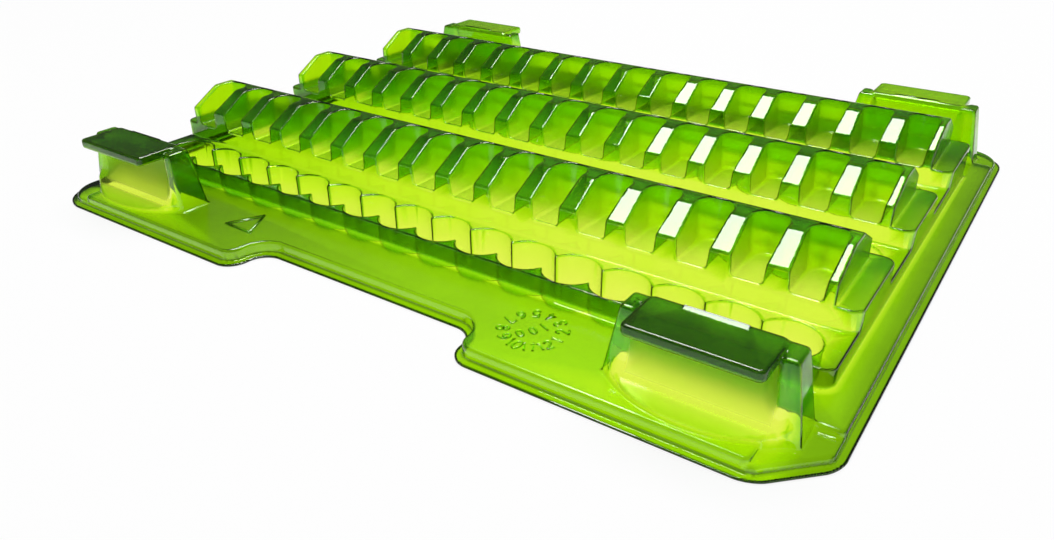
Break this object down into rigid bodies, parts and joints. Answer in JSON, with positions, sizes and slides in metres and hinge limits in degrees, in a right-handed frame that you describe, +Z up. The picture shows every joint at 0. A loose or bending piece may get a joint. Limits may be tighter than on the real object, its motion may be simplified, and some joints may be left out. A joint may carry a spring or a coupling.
{
  "type": "thermoformed cradle tray",
  "caption": "Clear lime-green thermoformed stacking tray: stepped rows of ribbed ridges with pockets and round wells, a raised deck, notched rim and corner towers.",
  "frame": {"origin": "middle of the tray, on the plane that the rim flange and the well floors rest on", "axes": "+X along the rows towards the cut corner's end, +Y across the rows towards the back, +Z up"},
  "size_m": [0.396, 0.326, 0.0417],
  "materials": {
    "clear_sheet": "clear gloss, tinted lime green"
  },
  "bodies": {
    "root": {"rim_flange": "clear_sheet", "rim_wall": "clear_sheet", "deck": "clear_sheet", "ledge_front_left": "clear_sheet", "ledge_front_right": "clear_sheet", "ledge_back_left": "clear_sheet", "ledge_back_right": "clear_sheet", "bench_front_1": "clear_sheet", "bench_front_2": "clear_sheet", "bench_front_3": "clear_sheet", "bench_back_1": "clear_sheet", "bench_back_2": "clear_sheet", "bench_back_3": "clear_sheet", "bench_ends_1": "clear_sheet", "bench_ends_2": "clear_sheet", "bench_ends_3": "clear_sheet", "well_floor_1": "clear_sheet", "well_floor_2": "clear_sheet", "well_floor_3": "clear_sheet", "plinth_1": "clear_sheet", "plinth_2": "clear_sheet", "plinth_3": "clear_sheet", "rib_row_1": "clear_sheet", "rib_row_2": "clear_sheet", "rib_row_3": "clear_sheet", "spine_1": "clear_sheet", "spine_2": "clear_sheet", "spine_3": "clear_sheet", "tower_front_left": "clear_sheet", "tower_front_right": "clear_sheet", "tower_back_left": "clear_sheet", "tower_back_right": "clear_sheet", "stack_plate_front_left": "clear_sheet", "stack_plate_front_right": "clear_sheet", "stack_plate_back_left": "clear_sheet", "stack_plate_back_right": "clear_sheet"}
  },
  "joints": []
}
